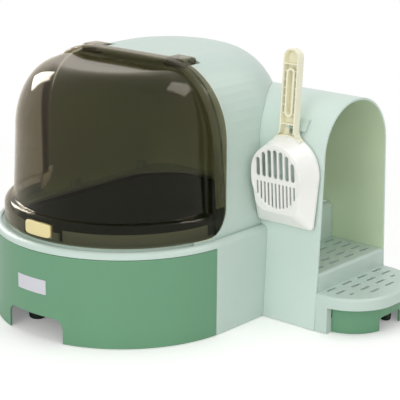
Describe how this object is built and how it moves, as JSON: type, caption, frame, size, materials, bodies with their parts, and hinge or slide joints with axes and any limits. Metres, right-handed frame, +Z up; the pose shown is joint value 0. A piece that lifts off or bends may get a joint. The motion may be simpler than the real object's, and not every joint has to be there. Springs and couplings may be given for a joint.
{
  "type": "drawer litter box",
  "caption": "Hooded drawer litter box with a domed shell, flip-up smoked visor, stepped side tunnel, pull-out pan and a hanging scoop.",
  "frame": {"origin": "centre of the bounding box on the floor", "axes": "+X out through the side tunnel, +Y from the visor to the rear wall, +Z up"},
  "size_m": [0.584, 0.5046, 0.4188],
  "materials": {
    "mint_shell": "satin",
    "green_fascia": "satin",
    "dark_green_pan": "satin",
    "dark_foot": "matte",
    "smoked_visor": "polished",
    "steel_pin": "brushed",
    "yellow_latch": "satin",
    "grey_label": "satin",
    "white_scoop": "satin",
    "cream_handle": "satin"
  },
  "bodies": {
    "shell": {"base_housing": "mint_shell", "drawer_runner_left": "mint_shell", "drawer_runner_right": "mint_shell", "hood": "mint_shell", "hood_clips": "mint_shell", "hinge_brackets": "mint_shell", "latch_keeper": "mint_shell", "tunnel_shell": "mint_shell", "tunnel_clips": "mint_shell", "step_unit": "mint_shell", "step_drawer_runners": "mint_shell", "scoop_hook": "mint_shell"},
    "litter_drawer": {"litter_pan": "dark_green_pan", "drawer_front": "green_fascia", "drawer_clips": "green_fascia", "drawer_feet": "dark_foot", "drawer_label": "grey_label"},
    "visor": {"visor": "smoked_visor", "hinge_pins": "steel_pin"},
    "latch": {"visor_latch": "yellow_latch"},
    "step_drawer": {"step_drawer_tray": "dark_green_pan", "step_drawer_front": "green_fascia", "step_drawer_feet": "dark_foot"},
    "scoop": {"scoop_head": "white_scoop", "scoop_handle": "cream_handle"}
  },
  "joints": [
    {"name": "litter_drawer_slide", "type": "slide", "parent": "shell", "child": "litter_drawer", "axis": [0, -1, 0], "range_m": [0, 0.3]},
    {"name": "visor_hinge", "type": "hinge", "parent": "shell", "child": "visor", "pos_m": [-0.092, -0.0117, 0.391], "axis": [-1, 0, 0], "range_deg": [0, 80]},
    {"name": "latch_press", "type": "slide", "parent": "visor", "child": "latch", "axis": [0, 1, 0], "range_m": [0, 0.003], "stiffness_N_per_m": 400},
    {"name": "step_drawer_slide", "type": "slide", "parent": "shell", "child": "step_drawer", "axis": [1, 0, 0], "range_m": [0, 0.15]},
    {"name": "scoop_lift", "type": "slide", "parent": "shell", "child": "scoop", "axis": [0, -0.9397, 0.342], "range_m": [0, 0.06]}
  ]
}
